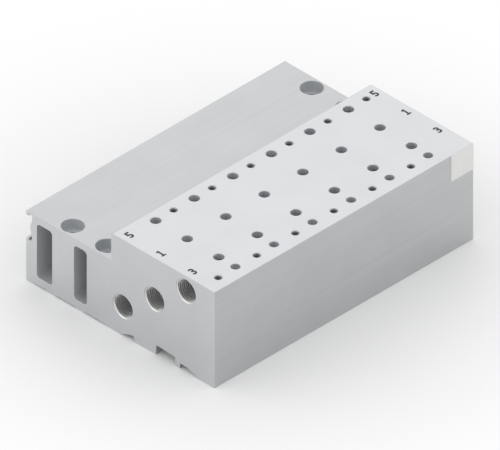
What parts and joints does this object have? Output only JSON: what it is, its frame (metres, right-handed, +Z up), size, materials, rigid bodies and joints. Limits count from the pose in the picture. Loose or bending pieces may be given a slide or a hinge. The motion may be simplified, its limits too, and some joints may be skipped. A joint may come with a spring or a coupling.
{
  "type": "manifold plate",
  "caption": "Extruded aluminium manifold plate for a row of small five-port valves, with threaded end ports, a stepped top, mounting holes, a rail seat and a label groove.",
  "frame": {"origin": "middle of the block's length and width, on the plane of its foot", "axes": "+X along the block from the drawing's near end to its far end, +Y across from the raised valve seat to the low shelf, +Z up from the foot to the valve seat"},
  "size_m": [0.1276, 0.0931, 0.041],
  "materials": {
    "anodised_aluminium": "satin",
    "label_film": "matte",
    "marking_ink": "matte"
  },
  "bodies": {
    "root": {"manifold_block": "anodised_aluminium", "blank_label": "label_film"}
  },
  "joints": []
}
